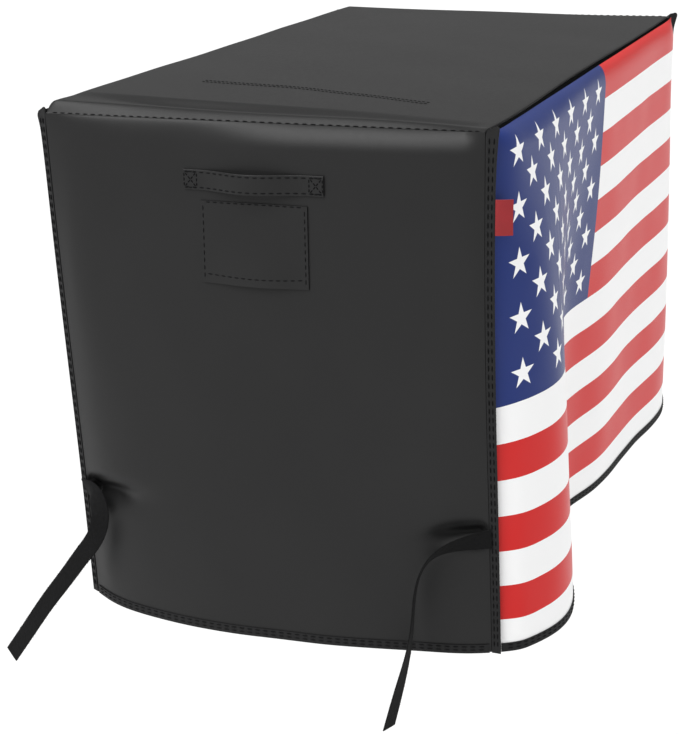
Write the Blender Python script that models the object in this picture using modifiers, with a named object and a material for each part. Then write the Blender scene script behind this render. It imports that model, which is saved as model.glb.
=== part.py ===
# A fitted barbecue cover: five sewn panels of coated cloth, bound seams, a grab handle and two ties.
# Metres, +Z up. The long printed front faces -Y and the end with the handle faces -X. The origin is
# under the middle of the top panel, at the height of the top seams. The covered barbecue holds the
# cover up there.

import math

import bmesh
import bpy
import numpy as np

# Height of the sides, thickness of the coated cloth, and the gap between pieces that touch
HEIGHT = 0.660
CLOTH = 0.0015
GAP = 0.0003

# Distances below the top seam at which the tables of the panels give their columns
SEAM_DEPTHS = (0.0, 0.14, 0.33, 0.50, 0.66)
WAVE_DEPTHS = (0.033, 0.13, 0.33, 0.66)

# Each corner seam at SEAM_DEPTHS, on the outer face of the end panel: its x and y. The seam's
# bound strip points along y, away from the cover, and turns back over the long panel by this many
# degrees, or out over the end panel where they are negative.
CORNERS = {
    "front_near": {
        "x": (-0.4890, -0.4892, -0.4885, -0.4860, -0.4810),
        "y": (-0.2815, -0.2798, -0.2800, -0.2820, -0.2825),
        "turn": 0.0,
    },
    "back_near": {
        "x": (-0.4890, -0.4895, -0.4900, -0.4900, -0.4910),
        "y": (0.2920, 0.2900, 0.2850, 0.2805, 0.2775),
        "turn": 28.0,
    },
    "back_far": {
        "x": (0.4890, 0.4890, 0.4885, 0.4880, 0.4870),
        "y": (0.2850, 0.2840, 0.2835, 0.2840, 0.2850),
        "turn": 20.0,
    },
    "front_far": {
        "x": (0.4890, 0.4888, 0.4885, 0.4875, 0.4860),
        "y": (-0.2845, -0.2840, -0.2845, -0.2850, -0.2860),
        "turn": -62.0,
    },
}

# How far each panel stands out from the straight line between its corner seams. A row for each
# distance from the corner named, and a column for each of WAVE_DEPTHS.
FRONT_FROM_NEAR = (
    # distance, shoulder, upper, middle, hem
    (0.000, 0.000, 0.000, 0.000, 0.000),
    (0.016, 0.014, 0.0125, 0.019, 0.0245),
    (0.032, 0.021, 0.0215, 0.031, 0.037),
    (0.068, 0.025, 0.034, 0.048, 0.055),
    (0.128, 0.026, 0.038, 0.054, 0.0625),
    (0.188, 0.024, 0.033, 0.039, 0.049),
    (0.268, 0.021, 0.021, 0.011, 0.014),
    (0.368, 0.018, 0.012, -0.008, -0.022),
    (0.438, 0.016, 0.012, -0.002, -0.031),
    (0.528, 0.017, 0.015, 0.009, -0.012),
    (0.638, 0.017, 0.016, 0.010, 0.000),
    (0.738, 0.016, 0.015, 0.013, 0.006),
    (0.858, 0.016, 0.016, 0.020, 0.018),
    (0.938, 0.012, 0.012, 0.013, 0.011),
    (0.975, 0.000, 0.000, 0.000, 0.000),
)
NEAR_FROM_FRONT = (
    (0.000, 0.000, 0.000, 0.000, 0.000),
    (0.012, 0.002, 0.003, 0.003, 0.005),
    (0.047, 0.005, 0.006, 0.009, 0.016),
    (0.103, 0.007, 0.009, 0.014, 0.026),
    (0.192, 0.008, 0.012, 0.022, 0.041),
    (0.287, 0.008, 0.014, 0.027, 0.049),
    (0.358, 0.008, 0.014, 0.029, 0.052),
    (0.429, 0.008, 0.014, 0.028, 0.047),
    (0.495, 0.007, 0.012, 0.023, 0.034),
    (0.540, 0.004, 0.008, 0.012, 0.016),
    (0.558, 0.002, 0.003, 0.005, 0.007),
    (0.566, 0.000, 0.000, 0.000, 0.000),
)
BACK_FROM_NEAR = (
    (0.000, 0.000, 0.000, 0.000, 0.000),
    (0.060, 0.010, 0.014, 0.016, 0.018),
    (0.300, 0.013, 0.020, 0.026, 0.026),
    (0.560, 0.013, 0.015, 0.012, 0.008),
    (0.780, 0.013, 0.017, 0.020, 0.022),
    (0.920, 0.010, 0.012, 0.014, 0.016),
    (0.975, 0.000, 0.000, 0.000, 0.000),
)
FAR_FROM_BACK = (
    (0.000, 0.000, 0.000, 0.000, 0.000),
    (0.050, 0.005, 0.008, 0.010, 0.012),
    (0.285, 0.008, 0.014, 0.022, 0.032),
    (0.520, 0.005, 0.008, 0.010, 0.012),
    (0.570, 0.000, 0.000, 0.000, 0.000),
)
SHOULDER = 0.030
SHARE_STEP = 0.002

# The outline of the top panel: x, then the y of its front and back edges
TOP_OUTLINE = (
    (-0.4893, -0.2808, 0.2914),
    (-0.4600, -0.2828, 0.2918),
    (-0.1800, -0.2825, 0.2902),
    (0.0300, -0.2836, 0.2880),
    (0.4400, -0.2850, 0.2856),
    (0.4893, -0.2838, 0.2842),
)

# Height of the flat middle of the top, which rises towards the back: y, then at its near and far end
FLAT_HEIGHTS = (
    (-0.284, 0.0015, 0.0013),
    (-0.180, 0.0040, 0.0015),
    (0.000, 0.0090, 0.0052),
    (0.130, 0.0118, 0.0074),
    (0.278, 0.0145, 0.0112),
)
# The roll along the near edge and the valley behind it: y, distance of the crest from the edge, its
# height, and the same two for the valley. The top rises from the valley to its flat over VALLEY_RISE.
NEAR_ROLL = (
    (-0.280, 0.010, 0.0022, 0.020, 0.0014),
    (-0.230, 0.011, 0.0042, 0.029, 0.0018),
    (-0.180, 0.012, 0.0060, 0.035, 0.0020),
    (0.000, 0.014, 0.0082, 0.045, 0.0030),
    (0.130, 0.016, 0.0105, 0.050, 0.0036),
    (0.290, 0.016, 0.0125, 0.052, 0.0100),
)
VALLEY_RISE = 0.021
FAR_ROUND = 0.012
BACK_ROUND = 0.014
FRONT_ROUND = 0.006

# How far in the near top seam lies: it starts at the front corner over this distance, fades towards
# the back, is gone at this depth below the seam, and is gone at this distance into the top. The seam
# also sags by this share of it.
NEAR_SEAM = {
    "inset": 0.010,
    "sag": 0.25,
    "corner": 0.030,
    "middle": -0.06,
    "fade": 0.16,
    "reach": 0.032,
    "top": 0.05,
}

# Creases where a tie pulls the near end in: distance from the front corner, depth below the top
CREASES = (
    {"corner": 0.000, "inward": 1, "depth": 0.497, "fall": 0.08, "length": 0.080, "pull": 0.010},
    {"corner": 0.566, "inward": -1, "depth": 0.492, "fall": 0.17, "length": 0.085, "pull": 0.011},
)
CREASE_HEIGHT = 0.009
CREASE_START = 0.012

# Bound strips over the corner seams. They are wider by the flare at the top, which fades downwards.
STRIP = {"thick": 0.0024, "wide": 0.0115, "flare": 0.0050, "fade": 0.030, "proud": 0.0008, "ear": 0.0045}
STRIP_CLEAR = 0.0006
PANEL_IN_STRIP = 0.0045

# Standing seams along the top's long edges, leaning out at 45 degrees
PIPING = {"thick": 0.0018, "wide": 0.0048, "clear": 0.0008, "root": 0.0005}
PIPING_LEAN = math.sqrt(0.5)
PIPING_REACH = PIPING["wide"] * 1.2

# Binding folded round the bottom edge of each panel, and the share of the edge it leaves bare
BINDING = {"outside": 0.0115, "inside": 0.0080, "thick": 0.0010, "bare": 0.004}

# Grab handle and vent flap on the near end, about the middle line of that end
MIDDLE = 0.005
SEAT = 0.0007
HANDLE = {
    "length": 0.184,
    "wide": 0.0245,
    "thick": 0.0020,
    "depth": 0.0705,
    "sewn": 0.019,
    "bow": 0.014,
}
FLAP = {"length": 0.141, "top": 0.0955, "bottom": 0.1965, "thick": 0.0012, "lift": 0.005}

# Blank side label in the seam of the near front corner. It leans back, more so towards its end.
LABEL = {
    "top": 0.077,
    "bottom": 0.119,
    "length": 0.0215,
    "thick": 0.0014,
    "lean": 14.0,
    "root_lean": 0.6,
    "curl": 0.8,
}
LABEL_CLEAR = 0.0005

# Ties: points down the middle of each strap, with how far it has turned from facing the near end
TIE = {"wide": 0.025, "thick": 0.0018}
TIE_STEP = 0.002
TIE_FRONT = (
    # x, y, z, turn
    (-0.4881, -0.2856, -0.5009, 0),
    (-0.4975, -0.2686, -0.5020, -12),
    (-0.5040, -0.2559, -0.5042, -25),
    (-0.5120, -0.2338, -0.5121, -45),
    (-0.5200, -0.2157, -0.5253, -66),
    (-0.5270, -0.2068, -0.5413, -77),
    (-0.5330, -0.2020, -0.5626, -82),
    (-0.5380, -0.2002, -0.5892, -84),
    (-0.5420, -0.1966, -0.6292, -78),
    (-0.5450, -0.1856, -0.6815, -64),
    (-0.5470, -0.1672, -0.7535, -56),
)
TIE_BACK = (
    (-0.4914, 0.2832, -0.5040, 0),
    (-0.5060, 0.2640, -0.5020, 2),
    (-0.5180, 0.2490, -0.5130, 6),
    (-0.5270, 0.2425, -0.5300, 10),
    (-0.5330, 0.2475, -0.5525, 16),
    (-0.5350, 0.2672, -0.5803, 24),
    (-0.5400, 0.2942, -0.6161, 30),
    (-0.5450, 0.3252, -0.6562, 33),
    (-0.5480, 0.3589, -0.7030, 35),
    (-0.5500, 0.3901, -0.7462, 35),
)
FACING = (-0.95, -0.30, 0.0)

COLOURS = {
    "black_cloth": ((0.033, 0.033, 0.033), 0.42),
    "black_binding": ((0.022, 0.022, 0.022), 0.60),
    "printed_cloth": ((0.80, 0.78, 0.78), 0.34),
    "hook_and_loop": ((0.012, 0.012, 0.012), 0.95),
    "red_label": ((0.50, 0.020, 0.025), 0.55),
}


def cubic(places, values, at):
    """Smooth curve through values at places, with no overshoot between them."""
    places = np.asarray(places, float)
    values = np.asarray(values, float)
    steps = np.diff(places)
    rises = np.diff(values) / steps
    slopes = np.zeros(len(places))
    slopes[0], slopes[-1] = rises[0], rises[-1]
    same_way = rises[:-1] * rises[1:] > 0
    means = 2 * rises[:-1] * rises[1:] / np.where(same_way, rises[:-1] + rises[1:], 1)
    slopes[1:-1] = np.where(same_way, means, 0)
    k = np.clip(np.searchsorted(places, at, side="right") - 1, 0, len(steps) - 1)
    t = np.clip((at - places[k]) / steps[k], 0, 1)
    return (
        values[k] * (1 + 2 * t) * (1 - t) ** 2
        + values[k + 1] * t**2 * (3 - 2 * t)
        + steps[k] * t * (1 - t) * (slopes[k] * (1 - t) - slopes[k + 1] * t)
    )


def quarter_round(distance, reach):
    """0 at an edge, rising as a quarter circle to 1 at this reach from it."""
    share = min(max(distance / reach, 0.0), 1.0)
    return math.sqrt(1 - (1 - share) ** 2)


def bell(distance, width):
    return math.exp(-0.5 * (distance / width) ** 2)


def ease_in(distance, reach):
    """0 up to the start, rising smoothly to 1 at this reach."""
    share = min(max(distance / reach, 0.0), 1.0)
    return share * share * (3 - 2 * share)


def runs(*stretches):
    """Stations along a piece, from stretches of (start, end, steps) that follow each other."""
    stations = [stretches[0][0]]
    for start, end, steps in stretches:
        stations += [start + (end - start) * k / steps for k in range(1, steps + 1)]
    return stations


def clear_scene():
    for old in list(bpy.data.objects):
        bpy.data.objects.remove(old, do_unlink=True)


def cloth_material(name):
    made = bpy.data.materials.get(name)
    if made is None:
        colour, roughness = COLOURS[name]
        made = bpy.data.materials.new(name)
        made.use_nodes = True
        shader = made.node_tree.nodes["Principled BSDF"]
        shader.inputs["Base Color"].default_value = (*colour, 1)
        shader.inputs["Roughness"].default_value = roughness
        shader.inputs["Metallic"].default_value = 0
    return made


def sheet(name, across, along, place, thickness, material, offset=-1):
    """A grid whose points are moved to place(a, b), then given its thickness.

    The side that faces outwards is the one from which across turns left into along.
    """
    columns, rows = len(across) - 1, len(along) - 1
    grid = bmesh.new()
    bmesh.ops.create_grid(grid, x_segments=columns, y_segments=rows, size=1)
    for point in grid.verts:
        i = round((point.co.x + 1) / 2 * columns)
        j = round((point.co.y + 1) / 2 * rows)
        point.co = place(across[i], along[j])
    mesh = bpy.data.meshes.new(name)
    grid.to_mesh(mesh)
    grid.free()
    mesh.shade_smooth()
    mesh.set_sharp_from_angle(angle=math.radians(40))
    piece = bpy.data.objects.new(name, mesh)
    piece.data.materials.append(cloth_material(material))
    cover.objects.link(piece)
    wall = piece.modifiers.new("Thickness", "SOLIDIFY")
    wall.thickness = thickness
    wall.offset = offset
    wall.use_even_offset = True
    return piece


def corner_frame(name, depth):
    """The seam's point on the end panel, and the directions along and behind its bound strip."""
    corner = CORNERS[name]
    x, y = (cubic(SEAM_DEPTHS, corner[axis], depth) for axis in "xy")
    base = np.array([x, y, -depth])
    away = np.array([0.0, math.copysign(1, base[1]), 0.0])
    behind = np.array([-math.copysign(1, base[0]), 0.0, 0.0])
    turn = math.radians(corner["turn"])
    along = away * math.cos(turn) + behind * math.sin(turn)
    back = behind * math.cos(turn) - away * math.sin(turn)
    return base, along, back


def strip_start(name):
    """Distance from the seam to a strip's inner edge, so that its turned back clears the end panel."""
    lean = math.tan(math.radians(max(CORNERS[name]["turn"], 0)))
    return STRIP_CLEAR + (STRIP["thick"] - STRIP["proud"]) * lean


def strip_width(depth):
    return STRIP["wide"] + STRIP["flare"] * math.exp(-max(depth, 0) / STRIP["fade"])


def panel_edge(corner, on_end, depth):
    """Where a panel's outer face ends: at the seam on an end panel, behind the strip on a long one."""
    base, along, back = corner_frame(corner, depth)
    if on_end:
        return base
    turned_out = math.sin(math.radians(max(-CORNERS[corner]["turn"], 0)))
    clear = STRIP["thick"] - STRIP["proud"] + GAP + CLOTH * turned_out
    return base + along * PANEL_IN_STRIP + back * clear


def stand_out(table, distance, depth):
    """How far a panel stands out at this distance along it and depth below the top seam."""
    rows = np.array(table)
    columns = [cubic(rows[:, 0], rows[:, k], distance) for k in range(1, rows.shape[1])]
    return cubic(WAVE_DEPTHS, columns, depth) * quarter_round(depth, SHOULDER)


def crease(distance, depth):
    """The pull of the ties on the near end."""
    total = 0.0
    for fold in CREASES:
        inward = (distance - fold["corner"]) * fold["inward"]
        middle = fold["depth"] + fold["fall"] * inward
        third = fold["length"] / 3
        fade = min(inward / CREASE_START, 1) * bell(max(inward - third, 0), third)
        total += fold["pull"] * fade * bell(depth - middle, CREASE_HEIGHT)
    return total


def seam_inset(y):
    """How far in the near top seam lies at this y."""
    start = ease_in(y - CORNERS["front_near"]["y"][0], NEAR_SEAM["corner"])
    return NEAR_SEAM["inset"] * start * (1 - ease_in(y - NEAR_SEAM["middle"], NEAR_SEAM["fade"]))


# The panels in order round the cover, each with the corners it runs between, seen from outside
# right to left, and its table of waves. The front's table starts at its far end of that run.
PANELS = {
    "near_end_panel": {"corners": ("front_near", "back_near"), "table": NEAR_FROM_FRONT},
    "back_panel": {"corners": ("back_near", "back_far"), "table": BACK_FROM_NEAR},
    "far_end_panel": {"corners": ("back_far", "front_far"), "table": FAR_FROM_BACK},
    "front_panel": {"corners": ("front_far", "front_near"), "table": FRONT_FROM_NEAR},
}


def panel_point(name, share, depth, out=0.0):
    """Outer face of a panel, at this share of its way between its seams, and out from there."""
    panel = PANELS[name]
    on_end = name in ("near_end_panel", "far_end_panel")
    start, finish = (panel_edge(corner, on_end, depth) for corner in panel["corners"])
    chord = finish - start
    outward = np.array([-chord[1], chord[0], 0.0]) / np.hypot(chord[0], chord[1])
    reach = panel["table"][-1][0]
    distance = reach * (1 - share if name == "front_panel" else share)
    bulge = stand_out(panel["table"], distance, depth)
    point = start + chord * share
    if name == "near_end_panel":
        inset = seam_inset(point[1]) * max(1 - depth / NEAR_SEAM["reach"], 0) ** 2
        bulge -= crease(distance, depth) + inset
        point = point - (0, 0, NEAR_SEAM["sag"] * inset)
    return point + outward * (bulge + out)


def panel_outward(name, share, depth):
    """Unit normal of a panel's outer face, level with the ground."""
    low, high = max(share - SHARE_STEP, 0), min(share + SHARE_STEP, 1)
    run = panel_point(name, high, depth) - panel_point(name, low, depth)
    return np.array([-run[1], run[0], 0.0]) / np.hypot(run[0], run[1])


# Grid lines of the panels: shares of the way across, and depths. They are closer at folds.
NEAR_ACROSS = runs((0, 0.02, 1), (0.02, 0.18, 6), (0.18, 0.82, 10), (0.82, 0.98, 7), (0.98, 1, 1))
FRONT_ACROSS = runs((0, 0.02, 1), (0.02, 0.14, 4), (0.14, 0.66, 11), (0.66, 0.98, 13))
FRONT_ACROSS += runs((0.99, 1, 1))
PLAIN_ACROSS = runs((0, 0.03, 1), (0.03, 0.12, 2), (0.12, 0.88, 8), (0.88, 0.97, 2), (0.97, 1, 1))
ACROSS = {
    "near_end_panel": NEAR_ACROSS,
    "back_panel": PLAIN_ACROSS,
    "far_end_panel": PLAIN_ACROSS,
    "front_panel": FRONT_ACROSS,
}
TOP_EDGE = 0.0016
SHOULDER_ROWS = runs((TOP_EDGE, 0.003, 1), (0.003, 0.010, 2), (0.010, 0.032, 3))
CREASE_ROWS = runs((0.43, 0.475, 2), (0.475, 0.525, 7))
NEAR_DOWN = SHOULDER_ROWS + runs((0.06, 0.377, 6)) + CREASE_ROWS + runs((0.552, HEIGHT, 4))
PLAIN_DOWN = SHOULDER_ROWS + runs((0.08, HEIGHT, 9))


def make_panels():
    for name in PANELS:

        def place(a, b, name=name):
            return panel_point(name, a, b)

        down = NEAR_DOWN if name == "near_end_panel" else PLAIN_DOWN
        material = "printed_cloth" if name == "front_panel" else "black_cloth"
        sheet(name, ACROSS[name], down, place, CLOTH, material)


def make_bindings():
    """A folded tape round each bottom edge: down the outside, under the edge and up the inside."""
    wall = BINDING["thick"] / 2 + GAP
    outside, inside = HEIGHT - BINDING["outside"], HEIGHT - BINDING["inside"]
    under = HEIGHT + wall
    fold = (
        # out from the outer face, depth below the top seam
        (wall, outside),
        (wall, (outside + HEIGHT) / 2),
        (wall, under),
        (-CLOTH - wall, under),
        (-CLOTH - wall, inside),
    )

    for name in PANELS:

        def place(a, b, name=name):
            out, depth = fold[b]
            edge = min(depth, HEIGHT)
            point = panel_point(name, a, edge) + panel_outward(name, a, edge) * out
            point[2] = -depth
            return point

        side = name.removesuffix("_panel")
        across = [min(max(a, BINDING["bare"]), 1 - BINDING["bare"]) for a in ACROSS[name]]
        tape = f"{side}_hem_binding"
        sheet(tape, across, range(len(fold)), place, BINDING["thick"], "black_binding", 0)


def make_corner_strips():
    """Bound seam allowances that stand out at the four corners, with a small ear above the top."""
    down = runs((-STRIP["ear"], 0.01, 2), (0.01, 0.04, 2), (0.04, HEIGHT, 12))
    middle = STRIP["thick"] / 2 - STRIP["proud"]
    for name in CORNERS:

        def place(a, b, name=name):
            base, along, back = corner_frame(name, max(b, 0))
            point = base + along * (strip_start(name) + strip_width(b) * a) + back * middle
            point[2] = -b
            return point

        left_handed = name in ("front_near", "back_far")
        across = (1, 0.5, 0) if left_handed else (0, 0.5, 1)
        sheet(f"{name}_corner_strip", across, down, place, STRIP["thick"], "black_binding", 0)


def top_edge(x, column):
    rows = np.array(TOP_OUTLINE)
    return float(cubic(rows[:, 0], rows[:, column], x))


def top_height(x, y):
    """Height of the top: a flat that rises to the back, and a roll and a valley at its near edge."""
    reach = TOP_OUTLINE[-1][0]
    from_near, from_far = x + reach, reach - x
    from_front, from_back = y - top_edge(x, 1), top_edge(x, 2) - y
    flats, rolls = np.array(FLAT_HEIGHTS), np.array(NEAR_ROLL)
    near_flat, far_flat = (cubic(flats[:, 0], flats[:, k], y) for k in (1, 2))
    crest, crest_height, valley, valley_height = (cubic(rolls[:, 0], rolls[:, k], y) for k in (1, 2, 3, 4))
    flat = near_flat + (far_flat - near_flat) * from_near / (2 * reach)
    height = crest_height
    height += (valley_height - crest_height) * ease_in(from_near - crest, valley - crest)
    height += (flat - height) * ease_in(from_near - valley, VALLEY_RISE)
    height *= math.sin(math.pi / 2 * min(from_near / crest, 1))
    height *= quarter_round(from_far, FAR_ROUND)
    height *= quarter_round(from_front, FRONT_ROUND)
    height *= quarter_round(from_back, BACK_ROUND)
    return height


def make_top():
    reach = TOP_OUTLINE[-1][0]
    far_edge = runs((0, 0.0006, 1), (0.0006, 0.0020, 1), (0.0020, 0.0080, 2), (0.0080, 0.020, 2))
    from_near = runs((0, 0.0015, 1), (0.0015, 0.018, 4), (0.018, 0.082, 9), (0.082, 0.90, 9))
    lengths = [a - reach for a in from_near] + [reach - a for a in reversed(far_edge)]
    breadths = runs((0, 0.002, 1), (0.002, 0.012, 1), (0.012, 0.06, 3), (0.06, 0.92, 12))
    breadths += runs((0.9425, 0.965, 1), (0.965, 0.980, 1), (0.980, 0.992, 1))
    breadths += runs((0.998, 1, 1))

    def place(x, share):
        front, back = top_edge(x, 1), top_edge(x, 2)
        y = front + (back - front) * share
        shift = seam_inset(y) * (1 - ease_in(x + reach, NEAR_SEAM["top"]))
        return (x + shift, y, top_height(x, y) - NEAR_SEAM["sag"] * shift)

    sheet("top_panel", lengths, breadths, place, CLOTH, "black_cloth")


def piping_end(corner):
    """Where the piping stops short of this corner's strip."""
    base, along, back = corner_frame(corner, 0.0)
    reach = PIPING_REACH if CORNERS[corner]["turn"] >= 0 else 0.0
    return float((base + along * reach + back * (STRIP["thick"] + GAP))[0])


def make_piping():
    """A narrow standing seam along each long edge of the top."""
    for side, column, outward in (("front", 1, -1), ("back", 2, 1)):
        near, far = piping_end(f"{side}_near"), piping_end(f"{side}_far")

        def place(a, b, column=column, outward=outward):
            edge = top_edge(a, column) + outward * PIPING["clear"]
            rise = (PIPING["root"] + PIPING["wide"] * b) * PIPING_LEAN
            return (a, edge + outward * rise, rise)

        across = runs((near, -0.40, 3), (-0.40, 0.40, 12), (0.40, far, 3))
        along = (0, 1) if outward < 0 else (1, 0)
        sheet(f"{side}_top_piping", across, along, place, PIPING["thick"], "black_binding", 0)


def near_end(y, depth, out):
    """Point on the near end at this y, by halving the panel's share until it fits."""
    low, high = 0.0, 1.0
    for _ in range(24):
        share = (low + high) / 2
        if panel_point("near_end_panel", share, depth)[1] < y:
            low = share
        else:
            high = share
    return panel_point("near_end_panel", share, depth, out)


def make_handle():
    """A strap sewn down at both ends, bowed off the panel between them."""
    half = HANDLE["length"] / 2
    free = half - HANDLE["sewn"]

    def place(a, b):
        lift = HANDLE["bow"] * (0.5 + 0.5 * math.cos(math.pi * a / free)) if abs(a) < free else 0.0
        return near_end(MIDDLE + a, HANDLE["depth"] + HANDLE["wide"] * b, SEAT + lift)

    across = runs((-half, -free, 2), (-free, free, 16), (free, half, 2))
    sheet("handle", across, (-0.5, 0, 0.5), place, HANDLE["thick"], "black_cloth", 1)


def make_flap():
    """The vent's flap, sewn along its top and sides, and a little raised along its lower edge."""
    half = FLAP["length"] / 2

    def place(a, b):
        sewn = (1 - (a / half) ** 2) ** 2
        drop = (b - FLAP["top"]) / (FLAP["bottom"] - FLAP["top"])
        return near_end(MIDDLE + a, b, SEAT + FLAP["lift"] * sewn * drop**2)

    across, down = runs((-half, half, 12)), runs((FLAP["top"], FLAP["bottom"], 8))
    sheet("vent_flap", across, down, place, FLAP["thick"], "black_cloth", 1)


def make_label():
    """A blank folded label in the corner seam, over the edge of the printed panel."""
    lean = math.radians(LABEL["lean"])

    def place(a, b):
        base, along, back = corner_frame("front_near", b)
        start = base + along * (strip_start("front_near") + strip_width(b) + LABEL_CLEAR)
        curl = a * (LABEL["root_lean"] + LABEL["curl"] * a / LABEL["length"])
        return start + along * a * math.cos(lean) + back * curl * math.sin(lean)

    across, down = runs((LABEL["length"], 0, 4)), runs((LABEL["top"], LABEL["bottom"], 2))
    sheet("side_label", across, down, place, LABEL["thick"], "red_label", 0)


def make_tie(name, rows):
    """A strap along a smooth path, turned about it by the angle in the last column."""
    table = np.array(rows, float)
    steps = np.linalg.norm(np.diff(table[:, :3], axis=0), axis=1)
    lengths = np.concatenate([[0], np.cumsum(steps)])
    facing = np.array(FACING) / np.linalg.norm(FACING)

    def row(at):
        return np.array([cubic(lengths, table[:, k], at) for k in range(4)])

    def place(a, b):
        x, y, z, turn = row(b)
        ahead, behind = row(min(b + TIE_STEP, lengths[-1])), row(max(b - TIE_STEP, 0))
        path = (ahead - behind)[:3]
        path /= np.linalg.norm(path)
        level = np.cross(facing, path)
        level /= np.linalg.norm(level)
        deep = np.cross(path, level)
        angle = math.radians(turn)
        wide = level * math.cos(angle) + deep * math.sin(angle)
        return np.array([x, y, z]) + wide * TIE["wide"] * a

    sheet(name, (-0.5, 0, 0.5), runs((0, lengths[-1], 28)), place, TIE["thick"], "hook_and_loop", 0)


clear_scene()
cover = bpy.data.collections.new("barbecue_cover")
bpy.context.scene.collection.children.link(cover)
make_panels()
make_bindings()
make_corner_strips()
make_top()
make_piping()
make_handle()
make_flap()
make_label()
make_tie("front_tie", TIE_FRONT)
make_tie("back_tie", TIE_BACK)
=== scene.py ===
# A fitted barbecue cover of coated cloth: four black panels, a front printed with a flag, bound seams,
# a grab handle, a vent flap and two fuzzy ties. Metres, +Z up. The front faces -Y, the end with the
# handle faces -X, and the origin is under the middle of the top.
import math

import bpy
import numpy as np
from mathutils import Matrix


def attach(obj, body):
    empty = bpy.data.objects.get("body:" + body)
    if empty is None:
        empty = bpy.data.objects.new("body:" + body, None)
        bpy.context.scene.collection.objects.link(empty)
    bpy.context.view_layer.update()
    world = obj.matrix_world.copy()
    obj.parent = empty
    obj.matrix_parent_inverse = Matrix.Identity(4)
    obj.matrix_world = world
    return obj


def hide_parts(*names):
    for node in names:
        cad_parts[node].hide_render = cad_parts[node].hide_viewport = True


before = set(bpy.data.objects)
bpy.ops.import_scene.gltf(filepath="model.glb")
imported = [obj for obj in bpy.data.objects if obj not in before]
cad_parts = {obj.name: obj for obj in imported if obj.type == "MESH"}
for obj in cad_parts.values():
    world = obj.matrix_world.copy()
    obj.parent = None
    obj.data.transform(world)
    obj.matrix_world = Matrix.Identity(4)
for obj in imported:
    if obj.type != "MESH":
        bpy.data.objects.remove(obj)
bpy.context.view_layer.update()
print("frame loaded with", len(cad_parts), "nodes")


# Camera, at the photograph's angle
camera = {
    "place": (-2.231, -0.835, 0.362),
    "azimuth": -67.0,
    "elevation": 19.2,
    "roll": -2.18,
    "lens": 80.58,
    "sensor": 36,
    "shift": -0.002,
    "clip": (0.05, 200),
}


def facingFrom(azimuth, elevation, roll=0.0):
    # Turn of what looks at the cover from these angles: back points from the cover to it, and right
    # and up are turned about back by the roll
    a, e, r = (math.radians(angle) for angle in (azimuth, elevation, roll))
    back = np.array([math.sin(a) * math.cos(e), -math.cos(a) * math.cos(e), math.sin(e)])
    right = np.cross((0, 0, 1), back)
    right /= np.linalg.norm(right)
    up = np.cross(back, right)
    level = right * math.cos(r) + up * math.sin(r)
    upright = up * math.cos(r) - right * math.sin(r)
    return Matrix([[level[k], upright[k], back[k], 0] for k in range(3)] + [[0, 0, 0, 1]])


def placed(name, data):
    # An object of this data, in the scene
    made = bpy.data.objects.new(name, data)
    bpy.context.scene.collection.objects.link(made)
    return made


def makeCamera():
    # The lens at its place, turned by its angles
    lens = bpy.data.cameras.new("camera")
    lens.lens = camera["lens"]
    lens.sensor_width = camera["sensor"]
    lens.shift_x = camera["shift"]
    lens.clip_start, lens.clip_end = camera["clip"]
    made = placed("camera", lens)
    turn = facingFrom(camera["azimuth"], camera["elevation"], camera["roll"])
    made.matrix_world = Matrix.Translation(camera["place"]) @ turn
    bpy.context.scene.camera = made


makeCamera()
print("camera placed")


# Curves and meshes

def throughPoints(places, values, at):
    # Natural cubic spline through values (one or more columns) at places, straight beyond its ends:
    # the bends solve the usual three-term equations, and each stretch is its ends' blend plus them
    places = np.asarray(places, float)
    values = np.asarray(values, float)
    table = values.reshape(len(places), -1)
    steps = np.diff(places)
    inner = np.arange(1, len(places) - 1)
    system = np.eye(len(places))
    system[inner, inner - 1] = steps[:-1]
    system[inner, inner] = 2 * (steps[:-1] + steps[1:])
    system[inner, inner + 1] = steps[1:]
    rises = np.diff(table, axis=0) / steps[:, None]
    wanted = np.zeros_like(table)
    wanted[1:-1] = 6 * np.diff(rises, axis=0)
    bends = np.linalg.solve(system, wanted)
    at = np.asarray(at, float)
    flat = at.ravel()
    kept = np.clip(flat, places[0], places[-1])
    k = np.clip(np.searchsorted(places, kept, side="right") - 1, 0, len(places) - 2)
    late = ((kept - places[k]) / steps[k])[:, None]
    early = 1 - late
    made = early * table[k] + late * table[k + 1]
    made += ((early**3 - early) * bends[k] + (late**3 - late) * bends[k + 1]) * (steps[k] ** 2)[:, None] / 6
    slopes = np.array([rises[0] - steps[0] * bends[1] / 6, rises[-1] + steps[-1] * bends[-2] / 6])
    made += (flat - kept)[:, None] * slopes[(flat > kept).astype(int)]
    return made.reshape(at.shape + values.shape[1:])


def fromRows(rows, at):
    # Spline through rows that each give a place and then the values there
    rows = np.array(rows)
    return throughPoints(rows[:, 0], rows[:, 1:], at)


def lengthsAlong(path):
    # Distance from its start at each point of a path: the sum of the steps up to it
    return np.concatenate([[0], np.cumsum(np.linalg.norm(np.diff(path, axis=0), axis=1))])


def readOff(at, places, table):
    # Each column of a table at these places, straight between its rows
    return np.stack([np.interp(at, places, table[:, k]) for k in range(table.shape[1])], -1)


def bell(distance, width):
    # exp of minus half the squared distance over the width
    return np.exp(-0.5 * (distance / width) ** 2)


def roundOff(distance, reach):
    # 0 at an edge, rising as a quarter circle to 1 at this reach from it
    share = np.clip(distance / reach, 0, 1)
    return np.sqrt(1 - (1 - share) ** 2)


def easeIn(distance, reach):
    # 0 up to the start, then 3 t^2 - 2 t^3 up to 1 at this reach
    t = np.clip(distance / reach, 0, 1)
    return t * t * (3 - 2 * t)


def unit(vectors):
    # Each vector divided by its length
    return vectors / np.linalg.norm(vectors, axis=-1, keepdims=True)


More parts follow.
